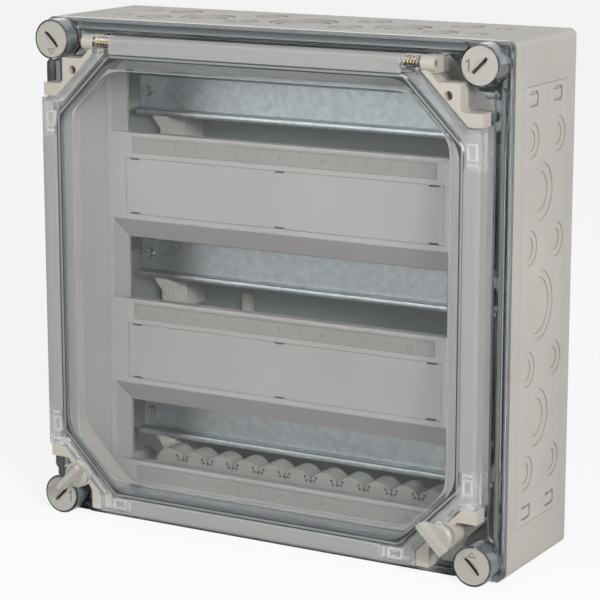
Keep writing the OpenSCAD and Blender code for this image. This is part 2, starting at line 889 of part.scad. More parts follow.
module marking_strip(i) {
    color([0.8, 0.79, 0.77]) front() slab(panel_front - marks_t, panel_front)
        on_rows(marks_z(i), marks_w - 0.4, marks_h - 0.4);
}

module marking_strip_1() {
    marking_strip(0);
}

module marking_strip_2() {
    marking_strip(1);
}

module marking_strip_3() {
    marking_strip(2);
}

// top-hat rail along x
module din_rail(i) {
    web = rail_w - 2 * rail_lip;
    color([0.66, 0.69, 0.72]) front() translate([0, row_z(i), 0]) difference() {
        union() {
            slab(rail_back, rail_back + rail_t) square([2 * rail_half, web], center = true);
            slab(rail_front - rail_t, rail_front) square([2 * rail_half, rail_w], center = true);
            slab(rail_back, rail_front) square([2 * rail_half, web], center = true);
        }
        slab(rail_back + rail_t, rail_front + over)
            square([2 * rail_half + over, web - 2 * rail_t], center = true);
        for (s = [-1, 1]) {
            translate([s * rail_screw_x, 0, 0]) stud(2.2, rail_back - over, rail_front);
        }
    }
}

module din_rail_1() {
    din_rail(0);
}

module din_rail_2() {
    din_rail(1);
}

module din_rail_3() {
    din_rail(2);
}

module rail_screws() {
    color([0.7, 0.7, 0.7]) front() for (i = [0 : rows - 1], s = [-1, 1]) {
        translate([s * rail_screw_x, row_z(i), 0]) {
            stud(4.2, rail_back + rail_t, rail_back + rail_t + 3);
            stud(2, rail_back - 8, rail_back + rail_t + over);
        }
    }
}

// upright of the right side
module upright() {
    mid = (spine_in + spine_out) / 2;
    difference() {
        union() {
            slab(floor_t, rail_back) translate([mid, row_lift])
                square([spine_out - spine_in, spine_h], center = true);
            for (z = [-spine_h * 0.4, 0, spine_h * 0.4]) {
                translate([post_x, row_lift + z, 0]) stud(4.5, rail_back - over, panel_rear);
            }
            for (i = [0 : rows - 1]) {
                translate([spine_in, row_z(i) - rail_w / 2 + 3, 0]) rotate([90, 0, 0])
                    linear_extrude(6, center = true) difference() {
                        translate([-18, floor_t]) square([18 + over, rail_back - floor_t]);
                        translate([-18, rail_back]) circle(r = 16);
                        translate([-18 - over, floor_t + 12]) square([8, rail_back]);
                    }
            }
        }
        slab(floor_t - over, rail_back - 4) translate([mid, row_lift])
            square([spine_out - spine_in - 6, spine_h - 6], center = true);
        for (i = [0 : rows - 1]) {
            translate([rail_screw_x, row_z(i), 0]) stud(2.2, rail_back - 10, rail_back + over);
        }
    }
}

module upright_left() {
    color([0.8, 0.78, 0.73]) front() mirror([1, 0, 0]) upright();
}

module upright_right() {
    color([0.8, 0.78, 0.73]) front() upright();
}

// row of joined lumps with a small hole in each dip between them
module terminal_carrier() {
    first = -(lumps - 1) / 2 * socket_pitch;
    color([0.8, 0.77, 0.71]) front() translate([0, carrier_z, 0]) difference() {
        union() {
            slab(carrier_d, carrier_d + carrier_t) {
                translate([0, -9]) square([carrier_len, 14], center = true);
                for (i = [0 : lumps - 1]) {
                    translate([first + i * socket_pitch, 9 - lump_r]) circle(r = lump_r);
                }
            }
            for (i = [0 : lumps - 2]) {
                translate([first + (i + 0.5) * socket_pitch, 1.2, 0])
                    stud(3, carrier_d, carrier_d + carrier_t - 2);
            }
            for (s = [-1, 0, 1]) {
                slab(floor_t, carrier_d + over) translate([s * (carrier_len / 2 - 6), -9])
                    square([10, 10], center = true);
            }
        }
        for (i = [0 : lumps - 2]) {
            translate([first + (i + 0.5) * socket_pitch, 1.2, 0])
                stud(1.5, carrier_d + 6, carrier_d + carrier_t + over);
        }
    }
}

base_box();
base_gasket();
knockout_plate_left();
knockout_plate_right();
knockout_plate_top();
knockout_plate_bottom();
lid();
window_gasket();
lid_lock_tl();
lid_lock_tr();
lid_lock_bl();
lid_lock_br();
lock_seals();
window_flap();
edge_strip_top();
edge_strip_bottom();
edge_strip_left();
edge_strip_right();
hinge_pins();
hinge_springs();
corner_bracket_tl();
corner_bracket_tr();
corner_bracket_bl();
corner_bracket_br();
bracket_screws();
latch_left();
latch_right();
front_panel();
row_cover_upper();
row_cover_lower();
marking_strip_1();
marking_strip_2();
marking_strip_3();
din_rail_1();
din_rail_2();
din_rail_3();
rail_screws();
upright_left();
upright_right();
terminal_carrier();
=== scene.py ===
"""Square breaker enclosure with a clear lid and a hinged window, dressed for its portrait."""

from __future__ import annotations

import logging
import math
from dataclasses import dataclass
from enum import Enum
from functools import reduce
from typing import Iterable, NamedTuple, Sequence

import bmesh
import bpy
from mathutils import Color, Matrix, Vector


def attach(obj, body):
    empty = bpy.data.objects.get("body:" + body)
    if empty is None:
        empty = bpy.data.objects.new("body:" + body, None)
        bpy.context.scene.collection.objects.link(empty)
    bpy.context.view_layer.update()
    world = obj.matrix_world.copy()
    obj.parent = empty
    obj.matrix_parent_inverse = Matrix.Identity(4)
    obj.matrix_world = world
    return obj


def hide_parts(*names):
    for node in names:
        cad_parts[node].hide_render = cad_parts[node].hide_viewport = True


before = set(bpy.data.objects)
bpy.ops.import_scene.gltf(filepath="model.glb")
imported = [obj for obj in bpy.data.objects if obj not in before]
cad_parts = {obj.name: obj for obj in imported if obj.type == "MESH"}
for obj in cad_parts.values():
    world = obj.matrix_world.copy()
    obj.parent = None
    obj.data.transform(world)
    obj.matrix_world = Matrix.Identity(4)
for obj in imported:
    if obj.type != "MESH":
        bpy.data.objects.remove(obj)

LOG = logging.getLogger("enclosure")
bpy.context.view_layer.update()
MM = 0.001
SIDES = ("left", "right", "top", "bottom")
CORNERS = ("tl", "tr", "bl", "br")
# Half widths of the blend at the edge of a mask, in metres.
CRISP, FIRM, EASY, SOFT = 0.0001, 0.0002, 0.0003, 0.0006
PLASTIC_IOR = 1.5

Pair = tuple[float, float]
Triple = tuple[float, float, float]
Colour = Triple
Outline = Sequence[Pair]
Prism = tuple[Outline, float, float]
Node = bpy.types.Node
Socket = bpy.types.NodeSocket
Material = bpy.types.Material
Mesh = bpy.types.Mesh
Object = bpy.types.Object
BMesh = bmesh.types.BMesh


class Body(str, Enum):
    """Bodies of the part that a piece can ride on."""

    ENCLOSURE = "enclosure"
    WINDOW = "window"
    LOCK_TL = "lock_tl"
    LOCK_TR = "lock_tr"
    LOCK_BL = "lock_bl"
    LOCK_BR = "lock_br"


class Mark(Enum):
    """Marks on the lock heads."""

    TRIANGLE = "triangle"
    ONE = "one"


class Grain(NamedTuple):
    """Fine relief of a surface: features per metre, strength and depth in metres."""

    scale: float
    strength: float
    depth: float


class Place(NamedTuple):
    """Object coordinates as sockets, with the sizes and sums that the masks are made from."""

    x: Socket
    z: Socket
    wide: Socket
    high: Socket
    depth: Socket
    slant: Socket
    far: Socket


class Graph:
    """A node tree under construction."""

    def __init__(self, tree: bpy.types.NodeTree, prefix: str = "") -> None:
        """Takes over a node tree.

        Args:
            tree: The tree.
            prefix: What Blender's names of its nodes start with.
        """
        self.tree = tree
        self.prefix = prefix

    def node(self, kind: str, *sources: object, **values: object) -> Node:
        """Adds a node.

        Args:
            kind: Blender's type name without the prefix.
            sources: What goes into its first inputs, each a socket or a constant.
            values: Attributes of the node, or what goes into inputs by name, with spaces as underscores.

        Returns:
            The new node.
        """
        made = self.tree.nodes.new(self.prefix + kind)
        inputs: dict[int | str, object] = dict(enumerate(sources))
        for key, value in values.items():
            if hasattr(made, key):
                setattr(made, key, value)
            else:
                inputs[key.replace("_", " ")] = value
        for place, value in inputs.items():
            if isinstance(value, Socket):
                self.tree.links.new(value, made.inputs[place])
            else:
                made.inputs[place].default_value = value
        return made

    def math(self, operation: str, *values: Socket | float) -> Socket:
        """Returns the result of an operation on one or two values."""
        return self.node("Math", *values, operation=operation).outputs[0]

    def chain(self, value: Socket, *steps: tuple) -> Socket:
        """Returns a value after a row of operations, each with its constant."""
        return reduce(lambda made, step: self.math(step[0], made, *step[1:]), steps, value)

    def span(self, source: Socket, low: float, high: float, start: float = 0.3, end: float = 0.7) -> Socket:
        """Returns a factor, mapped so that it is low at the start and high at the end."""
        ends = {"From_Min": start, "From_Max": end, "To_Min": low, "To_Max": high}
        return self.node("MapRange", Value=source, **ends).outputs["Result"]


class Shader(Graph):
    """A material under construction, with short calls for what the finishes share."""

    def __init__(self, name: str) -> None:
        """Starts an empty material.

        Args:
            name: Name of the material.
        """
        self.material = bpy.data.materials.new(name)
        self.material.use_nodes = True
        super().__init__(self.material.node_tree, "ShaderNode")
        self.tree.nodes.clear()
        self.coords = self.node("TexCoord").outputs["Object"]

    def noise(self, scale: float, detail: float = 3.0, rough: float = 0.55,
              source: Socket | None = None) -> Socket:
        """Returns a noise of a scale per metre, on object coordinates where no others are given."""
        source = self.coords if source is None else source
        return self.node("TexNoise", Vector=source, Scale=scale, Detail=detail,
                         Roughness=rough).outputs["Fac"]

    def ramp(self, source: Socket, stops: Sequence[tuple[float, Colour]]) -> Socket:
        """Turns a factor into a colour.

        Args:
            source: The factor.
            stops: Positions and colours, in order.

        Returns:
            The colour output.
        """
        made = self.node("ValToRGB", source)
        bar = made.color_ramp
        while len(bar.elements) < len(stops):
            bar.elements.new(0.5)
        for element, (place, colour) in zip(bar.elements, stops):
            element.position = place
            element.color = (*colour, 1.0)
        return made.outputs["Color"]

    def blend(self, mask: Socket, low: Colour, high: Colour) -> Socket:
        """Returns a colour that goes from one to the other with a mask."""
        return self.ramp(mask, [(0.0, low), (1.0, high)])

    def mottle(self, source: Socket, colour: Colour, low: float, high: float) -> Socket:
        """Returns a colour that a noise makes darker and lighter by two factors."""
        return self.ramp(source, [(0.3, shade(colour, low)), (0.7, shade(colour, high))])

    def bump(self, height: Socket, strength: float, depth: float, under: Socket | None = None) -> Socket:
        """Returns a normal with a bump, its depth in metres, on top of another normal where given."""
        base = {} if under is None else {"Normal": under}
        return self.node("Bump", Height=height, Strength=strength, Distance=depth, **base).outputs[0]

    def relief(self, grain: Grain) -> Socket:
        """Returns a normal with a fine relief on it."""
        return self.bump(self.noise(grain.scale, 2), grain.strength, grain.depth)

    def place(self) -> Place:
        """Splits the object coordinates.

        Returns:
            The coordinates, with depth as the distance from the back.
        """
        x, y, z = self.node("SeparateXYZ", self.coords).outputs
        wide, high = self.math("ABSOLUTE", x), self.math("ABSOLUTE", z)
        return Place(x, z, wide, high, self.math("MULTIPLY", y, -1.0), self.math("ADD", wide, high),
                     self.math("MAXIMUM", wide, high))

    def past(self, value: Socket, at: float, soft: float = SOFT) -> Socket:
        """Returns a mask that goes from zero to one where a value passes a place."""
        return self.span(value, 0.0, 1.0, at - soft, at + soft)

    def short_of(self, value: Socket, at: float, soft: float = SOFT) -> Socket:
        """Returns a mask that goes from one to zero where a value passes a place."""
        return self.span(value, 1.0, 0.0, at - soft, at + soft)

    def between(self, value: Socket, ends: Pair, soft: float = FIRM) -> Socket:
        """Returns a mask that is one between two places."""
        return self.every(self.past(value, ends[0], soft), self.short_of(value, ends[1], soft))

    def every(self, *masks: Socket) -> Socket:
        """Returns a mask that is one where all masks are one."""
        return reduce(lambda one, other: self.math("MULTIPLY", one, other), masks)

    def either(self, *masks: Socket) -> Socket:
        """Returns a mask that is one where any mask is one."""
        return reduce(lambda one, other: self.math("MAXIMUM", one, other), masks)

    def dim(self, colour: Socket, mask: Socket, tone: Colour) -> Socket:
        """Returns a colour that is multiplied by a tone where a mask is one."""
        factor = self.blend(mask, (1, 1, 1), tone)
        return self.node("VectorMath", colour, factor, operation="MULTIPLY").outputs[0]

    def mix(self, factor: Socket, first: Node, second: Node) -> Node:
        """Returns a mix of two shaders by the share of the second."""
        return self.node("MixShader", factor, first.outputs[0], second.outputs[0])

    def let_light_through(self, shader: Node, tint: Colour) -> Material:
        """Ends the tree in a shader that lets the lamps through with a tint, and returns the material."""
        through = self.node("BsdfTransparent", Color=(*tint, 1))
        return self.close(self.mix(self.node("LightPath").outputs["Is Shadow Ray"], shader, through))

    def close(self, shader: Node) -> Material:
        """Ends the tree in this shader and returns the material."""
        self.node("OutputMaterial", shader.outputs[0])
        return self.material


def shade(colour: Colour, factor: float) -> Colour:
    """Returns the colour made lighter or darker by a factor."""
    return tuple(min(1.0, c * factor) for c in colour)


def linear(red: int, green: int, blue: int) -> Colour:
    """Returns linear values for a colour given in screen values from 0 to 255."""
    return tuple(Color((red / 255, green / 255, blue / 255)).from_srgb_to_scene_linear())


@dataclass(frozen=True)
class MouldedPlastic:
    """Opaque injection moulded plastic with a fine spark-eroded grain."""

    name: str
    colour: Colour
    roughness: float = 0.46
    grain: float = 0.18
    drift: float = 0.05
    uneven: float = 0.06
    cloud_scale: float = 14.0
    grain_scale: float = 1900.0
    grain_depth: float = 0.00012
    wave: Grain = Grain(26.0, 0.12, 0.0012)

    def tone(self, s: Shader) -> Socket:
        """Returns the colour with its slow drift over the piece."""
        cloud = s.noise(self.cloud_scale, 3)
        return s.ramp(cloud, [(0.3, shade(self.colour, 1 - self.drift)), (0.5, self.colour),
                              (0.72, shade(self.colour, 1 + self.drift))])

    def build(self) -> Material:
        """Builds the material.

        Returns:
            The material.
        """
        s = Shader(self.name)
        fine = s.noise(self.grain_scale, 2)
        rough = s.span(fine, self.roughness - self.uneven, self.roughness + self.uneven)
        grain = s.bump(fine, self.grain, self.grain_depth, s.relief(self.wave))
        return s.close(s.node("BsdfPrincipled", Base_Color=self.tone(s), Normal=grain, Roughness=rough,
                              IOR=PLASTIC_IOR))


@dataclass(frozen=True)
class ShellPlastic(MouldedPlastic):
    """Moulded plastic with painted shade between two depths, within a half width and off the corners."""

    # Tone multiplied in as painted shade on the faces between the two depths.
    inside: Colour = (0.315, 0.395, 0.4)
    half: float = 0.1845
    depths: Pair = (0.0033, 0.0921)
    corner: float = 0.3
    corner_blend: float = 0.008

    def tone(self, s: Shader) -> Socket:
        """Returns the colour with painted shade between the two depths."""
        at = s.place()
        return s.dim(super().tone(s), s.every(
            s.between(at.depth, self.depths, CRISP), s.short_of(at.far, self.half, CRISP),
            s.short_of(at.slant, self.corner, self.corner_blend)), self.inside)


@dataclass(frozen=True)
class SteppedPlastic(MouldedPlastic):
    """Moulded plastic of a wall plate, with painted shade on the small walls between its ring steps."""

    # Tone of the painted shade on the small walls between the steps.
    wall: Colour = (0.64, 0.64, 0.64)
    half: float = 0.1875
    step: float = 0.001
    level_share: float = 0.05
    level_blend: float = 0.02

    def tone(self, s: Shader) -> Socket:
        """Returns the colour with painted shade between the levels of the steps."""
        off = s.chain(s.place().far, ("SUBTRACT", self.half), ("MULTIPLY", -1.0 / self.step), ("FRACT",),
                      ("SUBTRACT", 0.5), ("ABSOLUTE",))
        return s.dim(super().tone(s), s.short_of(off, 0.5 - self.level_share, self.level_blend), self.wall)


@dataclass(frozen=True)
class SlottedPlastic(MouldedPlastic):
    """Moulded plastic of the four lock heads, with painted shade in their driver slots and on their sides.
    """

    # Tones of the painted shade in the driver slot and on the sides below the face.
    dark: Colour = (0.3, 0.3, 0.3)
    flank: Colour = (0.36, 0.38, 0.41)
    lock_at: float = 0.1725
    reach: float = 0.0084
    face: float = 0.1237

    def tone(self, s: Shader) -> Socket:
        """Returns the colour with painted shade below the face of a lock, darkest near its axis.

        Args:
            s: The material under construction.

        Returns:
            The colour output.
        """
        at = s.place()
        off = [s.chain(value, ("SUBTRACT", self.lock_at), ("ABSOLUTE",), ("POWER", 2.0))
               for value in (at.wide, at.high)]
        away = s.math("SQRT", s.math("ADD", *off))
        sunk = s.short_of(at.depth, self.face, EASY)
        slot = s.every(s.short_of(away, self.reach, CRISP), sunk)
        side = s.every(s.past(away, self.reach, CRISP), sunk)
        return s.dim(s.dim(super().tone(s), slot, self.dark), side, self.flank)


@dataclass(frozen=True)
class HazyPlastic:
    """Clear glossy plastic that is hazy in places."""

    name: str
    tint: Colour
    haze: Colour
    through: float = 0.35
    rough: Pair = (0.03, 0.45)
    ripple: Grain = Grain(9.0, 0.02, 0.002)

    def mask(self, s: Shader, at: Place) -> Socket:
        """Returns a factor that is one where the plastic is hazy."""
        raise NotImplementedError

    def tone(self, s: Shader, at: Place, mask: Socket) -> Socket:
        """Returns the colour of the clear and the hazy places."""
        return s.blend(mask, self.tint, self.haze)

    def build(self) -> Material:
        """Builds the material.

        Returns:
            The material.
        """
        s = Shader(self.name)
        at = s.place()
        mask = self.mask(s, at)
        rough = s.span(mask, *self.rough, 0.0, 1.0)
        clear = s.span(mask, 1.0, self.through, 0.0, 1.0)
        look = s.node("BsdfPrincipled", Base_Color=self.tone(s, at, mask), Normal=s.relief(self.ripple),
                      Roughness=rough, Transmission_Weight=clear, IOR=PLASTIC_IOR)
        return s.let_light_through(look, self.tint)


@dataclass(frozen=True)
class LidPlastic(HazyPlastic):
    """Clear plastic, dull on walls of its octagonal collar and on the corner pads, with painted shade along
    its edge.
    """

    lip: Pair = (0.1534, 0.2746)
    collar: Pair = (0.1626, 0.2812)
    flange: float = 0.1228
    side: float = -0.1186
    pads: Pair = (0.2852, 0.3185)
    pad_half: float = 0.176
    plate: float = 0.1043
    # Tint and start of the painted shade along the outer edge of the lid.
    edge: Colour = (0.72, 0.735, 0.755)
    edge_at: float = 0.1765

    def mask(self, s: Shader, at: Place) -> Socket:
        """Returns a factor for the lip of the aperture, the left inner walls of its collar and the pads.

        Args:
            s: The material under construction.
            at: Its object coordinates.

        Returns:
            The factor output.
        """
        lip, collar = (s.every(s.short_of(at.slant, cut, FIRM), s.short_of(at.far, half, FIRM))
                       for half, cut in (self.lip, self.collar))
        left = s.every(collar, s.short_of(at.depth, self.flange, CRISP), s.short_of(at.x, self.side, FIRM))
        pad = s.every(s.between(at.slant, self.pads), s.short_of(at.far, self.pad_half, FIRM),
                      s.past(at.depth, self.plate, CRISP))
        return s.either(lip, left, pad)

    def tone(self, s: Shader, at: Place, mask: Socket) -> Socket:
        """Returns the colour, with painted shade along the sides and the top."""
        # Painted shade: the lid is tinted darker along its sides and top.
        edge = s.past(s.math("MAXIMUM", at.wide, at.z), self.edge_at, EASY)
        return s.dim(super().tone(s, at, mask), edge, self.edge)


@dataclass(frozen=True)
class WindowPlastic(HazyPlastic):
    """Clear plastic whose rim is frosted along the straight sides, and less so at their ends."""

    rim: float = 0.1655
    ends: float = 0.104
    top_ends: float = 0.1172
    cut: float = 0.2868
    end_share: float = 0.25
    cut_share: float = 0.2

    def mask(self, s: Shader, at: Place) -> Socket:
        """Returns a factor that is one on the frosted bars.

        Args:
            s: The material under construction.
            at: Its object coordinates.

        Returns:
            The factor output.
        """
        low = s.math("MULTIPLY", at.z, -1.0)
        top = s.every(s.past(at.z, self.rim), s.short_of(at.wide, self.top_ends))
        band = s.every(s.past(at.slant, self.cut), s.short_of(at.far, self.rim))
        bars = [s.every(s.past(across, self.rim),
                        s.span(along, 1.0, self.end_share, self.ends - SOFT, self.ends + SOFT))
                for across, along in ((low, at.wide), (at.wide, at.high))]
        return s.either(top, s.math("MULTIPLY", band, self.cut_share), *bars)


@dataclass(frozen=True)
class Galvanised:
    """Zinc coated sheet with pale crystal flakes, faint rolling lines and a painted shadow line along the
    fold of each rail.
    """

    name: str
    colour: Colour
    pitch: float = 0.125
    lift: float = 0.0025
    flange: Pair = (0.0135, 0.0175)
    # Band across the rail, and its tone, of the painted shadow line at the fold.
    fold: Pair = (0.0123, 0.0139)
    fold_tone: Colour = (0.42, 0.42, 0.42)
    flake_scale: float = 260.0
    shake_scale: float = 60.0
    shake: float = 0.012
    rough: Pair = (0.36, 0.46)
    bead: float = 0.3
    bead_depth: float = 0.0014
    line: float = 0.12
    line_scale: float = 700.0
    line_depth: float = 0.0001
    line_stretch: Triple = (0.02, 1.0, 1.0)
    tones: Pair = (0.9, 1.1)
    round_off: Outline = ((0.0, 0.0), (0.15, 0.7), (0.5, 1.0), (0.85, 0.7), (1.0, 0.0))

    def across(self, s: Shader) -> Socket:
        """Returns the distance from the middle of the nearest rail."""
        return s.chain(s.place().z, ("ADD", 1.5 * self.pitch - self.lift), ("MODULO", self.pitch),
                       ("SUBTRACT", self.pitch / 2), ("ABSOLUTE",))

    def flakes(self, s: Shader) -> list[Socket]:
        """Draws the flakes.

        Args:
            s: The material under construction.

        Returns:
            Three random factors, the same within a flake.
        """
        noise = s.node("TexNoise", Vector=s.coords, Scale=self.shake_scale, Detail=3.0).outputs["Color"]
        small = s.node("VectorMath", noise, operation="SCALE", Scale=self.shake).outputs[0]
        warp = s.node("VectorMath", s.coords, small, operation="ADD").outputs[0]
        cells = s.node("TexVoronoi", Vector=warp, Scale=self.flake_scale, Randomness=1.0)
        return list(s.node("SeparateColor", cells.outputs["Color"]).outputs)

    def normal(self, s: Shader, across: Socket) -> Socket:
        """Returns the normal with the rolled flanges and the rolling lines.

        Args:
            s: The material under construction.
            across: Distance from the middle of the rail.

        Returns:
            The normal output.
        """
        heights = [(at, (h, h, h)) for at, h in self.round_off]
        round_off = s.ramp(s.span(across, 0.0, 1.0, *self.flange), heights)
        along = s.node("Mapping", s.coords, Scale=self.line_stretch).outputs[0]
        lines = s.noise(self.line_scale, 2, source=along)
        return s.bump(lines, self.line, self.line_depth, s.bump(round_off, self.bead, self.bead_depth))

    def build(self) -> Material:
        """Builds the material.

        Returns:
            The material.
        """
        s = Shader(self.name)
        tone, gloss, _ = self.flakes(s)
        low, high = (shade(self.colour, share) for share in self.tones)
        colour = s.ramp(tone, [(0.0, low), (0.5, self.colour), (1.0, high)])
        across = self.across(s)
        # Painted shadow: a dark line along the fold of each rail.
        fold = s.every(s.past(across, self.fold[0], FIRM), s.short_of(across, self.fold[1], EASY))
        rough = s.span(gloss, *self.rough, 0.0, 1.0)
        return s.close(s.node("BsdfPrincipled", Base_Color=s.dim(colour, fold, self.fold_tone),
                              Normal=self.normal(s, across), Roughness=rough, Metallic=1.0))


@dataclass(frozen=True)
class Metal:
    """Plain turned or plated metal with fine tool marks."""

    name: str
    colour: Colour
    roughness: float = 0.3
    cloud_scale: float = 420.0
    marks: Grain = Grain(2600.0, 0.1, 0.00008)
    tones: Pair = (0.82, 1.1)
    uneven: Pair = (-0.08, 0.1)

    def build(self) -> Material:
        """Builds the material.

        Returns:
            The material.
        """
        s = Shader(self.name)
        cloud = s.noise(self.cloud_scale, 3)
        rough = s.span(cloud, *(self.roughness + change for change in self.uneven))
        tone = s.mottle(cloud, self.colour, *self.tones)
        return s.close(s.node("BsdfPrincipled", Base_Color=tone, Normal=s.relief(self.marks),
                              Roughness=rough, Metallic=1.0))


@dataclass(frozen=True)
class Seal:
    """Foamed or moulded rubber with a fine open grain."""

    name: str
    colour: Colour
    roughness: float = 0.7
    grain: float = 0.25
    grain_scale: float = 1300.0
    grain_depth: float = 0.0002
    tones: Pair = (0.86, 1.12)

    def tone(self, s: Shader, grain: Socket) -> Socket:
        """Returns the colour with its grain."""
        return s.mottle(grain, self.colour, *self.tones)

    def build(self) -> Material:
        """Builds the material.

        Returns:
            The material.
        """
        s = Shader(self.name)
        grain = s.noise(self.grain_scale, 4, 0.65)
        bump = s.bump(grain, self.grain, self.grain_depth)
        return s.close(s.node("BsdfPrincipled", Base_Color=self.tone(s, grain), Normal=bump,
                              Roughness=self.roughness))


@dataclass(frozen=True)
class LinedSeal(Seal):
    """Octagonal seal with a pale middle and a dark line along each edge."""

    dark: Colour = (0.0, 0.0, 0.0)
    half: float = 0.165
    cut: float = 0.28462
    width: float = 0.0035
    stops: tuple[float, ...] = (0.0, 0.22, 0.34, 0.66, 0.78)

    def tone(self, s: Shader, grain: Socket) -> Socket:
        """Returns the lined colour.

        Args:
            s: The material under construction.
            grain: Noise of the grain, not used here.

        Returns:
            The colour output.
        """
        at = s.place()
        slant = s.chain(at.slant, ("SUBTRACT", self.cut), ("MULTIPLY", math.sqrt(0.5)))
        edge = s.either(s.math("SUBTRACT", at.far, self.half), slant)
        tones = (self.dark, self.dark, self.colour, self.colour, self.dark)
        return s.ramp(s.span(edge, 0.0, 1.0, -self.width, 0.0), list(zip(self.stops, tones)))


@dataclass(frozen=True)
class Milky:
    """Pale plastic that takes a little light into itself."""

    name: str
    colour: Colour
    roughness: float = 0.35
    depth: float = 0.003
    tint: Colour = (0.8, 0.8, 0.79)
    cloud_scale: float = 60.0
    grain: Grain = Grain(900.0, 0.08, 0.0001)
    tones: Pair = (0.95, 1.04)
    share: float = 0.2

    def build(self) -> Material:
        """Builds the material.

        Returns:
            The material.
        """
        s = Shader(self.name)
        tone = s.mottle(s.noise(self.cloud_scale, 3), self.colour, *self.tones)
        look = s.node("BsdfPrincipled", Base_Color=tone, Normal=s.relief(self.grain),
                      Roughness=self.roughness, Subsurface_Weight=self.share,
                      Subsurface_Radius=(self.depth,) * 3)
        return s.let_light_through(look, self.tint)


class Looks:
    """All finishes of the enclosure, built once."""

    def __init__(self) -> None:
        """Builds the materials."""
        # The shell is painted darker inside its box, away from the corners, as shade.
        self.base = ShellPlastic("pebble_grey_shell", linear(196, 192, 186)).build()
        self.plate = SteppedPlastic("pebble_grey_plate", linear(199, 195, 189), drift=0.06).build()
        self.lock = SlottedPlastic("pebble_grey_lock", linear(187, 183, 176), 0.4, 0.1).build()
        self.bracket = MouldedPlastic("beige_bracket", linear(199, 193, 183), 0.42, 0.12).build()
        self.latch = MouldedPlastic("beige_latch", linear(187, 183, 176), 0.38, 0.1).build()
        # The panel is painted darker on the slopes of its slot recesses, as shade.
        self.panel = ShellPlastic("panel_grey", linear(146, 142, 139), 0.5, inside=(0.69, 0.69, 0.69),
                                  half=0.149, depths=(0.088, 0.0948)).build()
        self.cover = MouldedPlastic("cover_grey", linear(143, 140, 137), 0.5).build()
        self.marking = MouldedPlastic("marking_grey", linear(127, 123, 119), 0.5).build()
        self.print = MouldedPlastic("number_grey", linear(116, 113, 110), 0.5).build()
        # The uprights are the beige plastic of the hooks, painted darker as shade.
        self.upright = MouldedPlastic("upright_painted_shade", linear(122, 128, 122), 0.45).build()
        self.hook = MouldedPlastic("hook_beige", linear(172, 174, 164), 0.45).build()
        self.carrier = MouldedPlastic("carrier_grey", linear(138, 140, 132), 0.45).build()
        self.lid = LidPlastic("clear_lid", (0.88, 0.905, 0.925), linear(164, 161, 156)).build()
        self.window = WindowPlastic("clear_window", (0.95, 0.96, 0.965), linear(186, 186, 184), 0.38,
                                    (0.03, 0.34)).build()
        self.strip = Milky("milky_strip", linear(186, 186, 184)).build()
        self.zinc = Galvanised("galvanised_rail", linear(192, 198, 200)).build()
        self.brass = Metal("brass", linear(190, 164, 122)).build()
        self.pin = Metal("dark_brass", linear(112, 94, 66), 0.4).build()
        self.steel = Metal("plated_steel", linear(188, 188, 186), 0.32).build()
        self.seal = Seal("grey_seal", linear(166, 167, 167)).build()
        self.lined = LinedSeal("lined_seal", linear(196, 197, 195), 0.6, 0.2,
                               dark=linear(82, 87, 91)).build()
        # Dark rubber of the lock seals, also used as painted shade in the cover notches and the carrier
        # holes.
        self.ring = Seal("dark_seal_and_painted_shade", linear(52, 54, 58)).build()
        self.ink = Seal("dark_mark", linear(112, 107, 101), 0.6).build()


def dress(material: Material, *nodes: str) -> None:
    """Gives CAD nodes a finish.

    Args:
        material: The finish.
        nodes: Names of the nodes.
    """
    for name in nodes:
        mesh = bpy.data.objects[name].data
        mesh.materials.clear()
        mesh.materials.append(material)
        LOG.info("dressed %s with %s", name, material.name)


def put(name: str, data: bpy.types.ID) -> Object:
    """Puts a new object into the scene.

    Args:
        name: Name of the object.
        data: What it shows.

    Returns:
        The object.
    """
    made = bpy.data.objects.new(name, data)
    bpy.context.scene.collection.objects.link(made)
    return made


def plain_mesh(source: Object) -> Mesh:
    """Returns a plain mesh of an object as its modifiers leave it."""
    bpy.context.view_layer.update()
    return bpy.data.meshes.new_from_object(source.evaluated_get(bpy.context.evaluated_depsgraph_get()))


def piece(name: str, mesh: Mesh, material: Material, body: Body,
          replaces: Sequence[str] = ()) -> None:
    """Makes a finished piece that rides on a body.

    Args:
        name: Name of the piece.
        mesh: Its mesh, in the part's frame.
        material: Its finish.
        body: The body that carries it.
        replaces: CAD nodes that it stands for.
    """
    mesh.materials.clear()
    mesh.materials.append(material)
    made = put(name, mesh)
    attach(made, body.value)
    if replaces:
        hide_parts(*replaces)
    LOG.info("piece %s on %s, %d faces", name, body.value, len(mesh.polygons))


def mesh_from(name: str, bm: BMesh, smooth_deg: float = 35.0) -> Mesh:
    """Turns a bmesh into a mesh with outward normals.

    Args:
        name: Name of the mesh.
        bm: The bmesh, freed here.
        smooth_deg: Edges flatter than this are shaded smooth.

    Returns:
        The mesh.
    """
    bmesh.ops.remove_doubles(bm, verts=bm.verts, dist=1e-7)
    bmesh.ops.recalc_face_normals(bm, faces=bm.faces)
    limit = math.radians(smooth_deg)
    for face in bm.faces:
        face.smooth = True
    for edge in bm.edges:
        edge.smooth = len(edge.link_faces) == 2 and edge.calc_face_angle(0) < limit
    mesh = bpy.data.meshes.new(name)
    bm.to_mesh(mesh)
    bm.free()
    return mesh


def prism(bm: BMesh, outline: Outline, low: float, high: float, place: Matrix) -> None:
    """Adds a straight prism to a bmesh.

    Args:
        bm: The bmesh.
        outline: Corners in the plane of the face, in millimetres.
        low: Lower end along the normal, in millimetres.
        high: Upper end, in millimetres.
        place: Takes the prism's coordinates in metres to the part's frame.
    """
    rings = [[bm.verts.new(place @ Vector((x * MM, y * MM, level * MM))) for x, y in outline]
             for level in (low, high)]
    count = len(outline)
    bm.faces.new(rings[1])
    bm.faces.new(rings[0][::-1])
    for i in range(count):
        j = (i + 1) % count
        bm.faces.new((rings[0][i], rings[0][j], rings[1][j], rings[1][i]))


